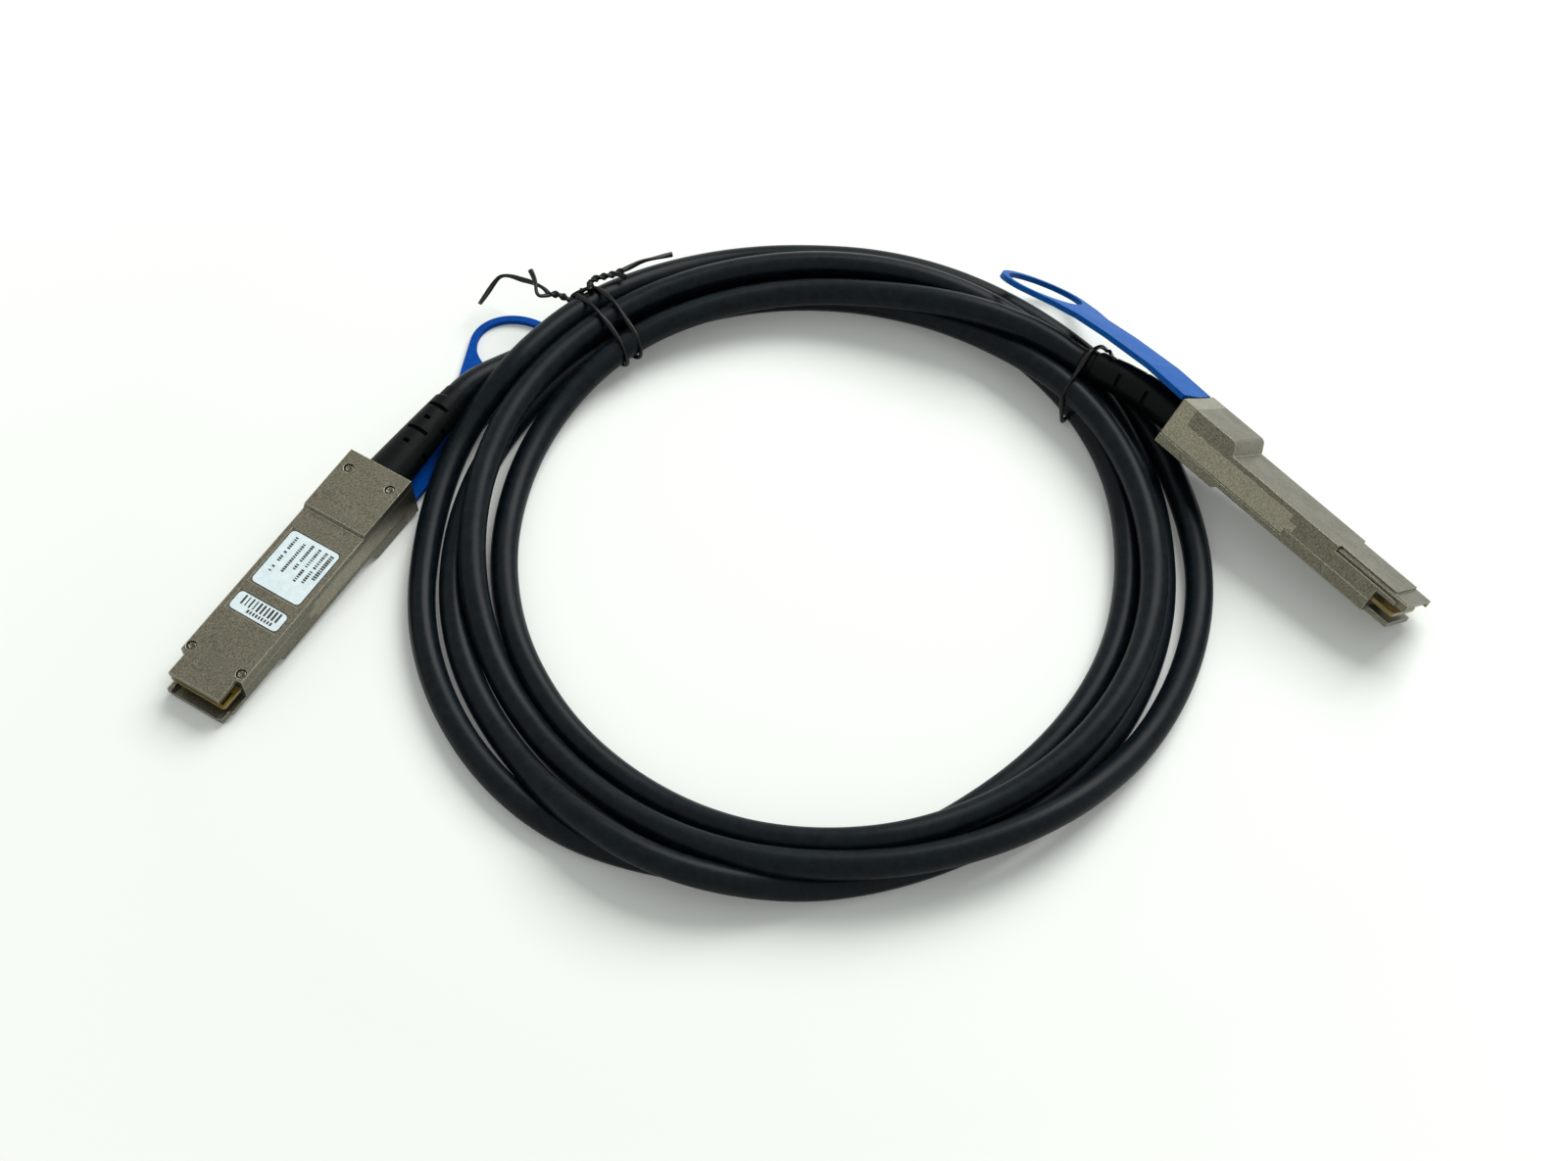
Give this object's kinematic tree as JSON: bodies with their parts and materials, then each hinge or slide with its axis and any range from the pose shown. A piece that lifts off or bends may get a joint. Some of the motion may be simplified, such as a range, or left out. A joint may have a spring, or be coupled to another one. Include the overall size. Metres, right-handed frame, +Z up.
{
  "type": "direct attach copper cable",
  "caption": "Coiled direct attach copper cable with a latching metal plug and a blue pull tab on each end, held by two twist ties.",
  "frame": {"origin": "on the surface that the cable lies on, under the middle of the box round the two plugs and their pull tabs", "axes": "+Z up; +X to the right and +Y away from someone who looks at the coil with the plugs at its left and right"},
  "size_m": [0.2996, 0.193, 0.0253],
  "materials": {
    "die_cast_zinc": "fine bead-blasted nickel over die-cast zinc",
    "stainless_sheet": "satin stainless sheet",
    "spring_steel": "drawn wire",
    "tab_blue_a": "soft moulded, slightly glossy",
    "tab_blue_b": "soft moulded, slightly glossy",
    "relief_rubber": "moulded, satin",
    "jacket_pvc": "extruded jacket, satin",
    "ferrule_metal": "crimped",
    "foil_shield": "foil wrap",
    "comb_plastic": "moulded",
    "circuit_card": "solder mask",
    "chip_plastic": "moulded package",
    "screw_steel": "plated",
    "label_film": "printed film",
    "tie_plastic": "plastic coated wire"
  },
  "bodies": {
    "cable_assembly": {"bottom_shell_a": "die_cast_zinc", "top_shell_a": "die_cast_zinc", "return_springs_a": "spring_steel", "strain_relief_a": "relief_rubber", "cable_core_a": "jacket_pvc", "crimp_ferrule_a": "ferrule_metal", "wire_pairs_a": "foil_shield", "wire_comb_a": "comb_plastic", "paddle_card_a": "circuit_card", "card_chips_a": "chip_plastic", "shell_screws_a": "screw_steel", "large_label_a": "label_film", "small_label_a": "label_film", "bottom_shell_b": "die_cast_zinc", "top_shell_b": "die_cast_zinc", "return_springs_b": "spring_steel", "strain_relief_b": "relief_rubber", "cable_core_b": "jacket_pvc", "crimp_ferrule_b": "ferrule_metal", "wire_pairs_b": "foil_shield", "wire_comb_b": "comb_plastic", "paddle_card_b": "circuit_card", "card_chips_b": "chip_plastic", "shell_screws_b": "screw_steel", "cable_coil": "jacket_pvc", "cable_lead_a": "jacket_pvc", "cable_lead_b": "jacket_pvc", "tie_main": "tie_plastic", "tie_small": "tie_plastic"},
    "latch_a": {"latch_slider_a": "stainless_sheet", "pull_tab_a": "tab_blue_a"},
    "latch_b": {"latch_slider_b": "stainless_sheet", "pull_tab_b": "tab_blue_b"}
  },
  "joints": [
    {"name": "latch_slide_a", "type": "slide", "parent": "cable_assembly", "child": "latch_a", "axis": [0.5388, 0.8406, 0.0558], "range_m": [0, 0.0023], "stiffness_N_per_m": 600, "springref_m": -0.0015, "deforming": ["return_springs_a"]},
    {"name": "latch_slide_b", "type": "slide", "parent": "cable_assembly", "child": "latch_b", "axis": [-0.6778, 0.7319, 0.0698], "range_m": [0, 0.0023], "stiffness_N_per_m": 600, "springref_m": -0.0015, "deforming": ["return_springs_b"]}
  ]
}
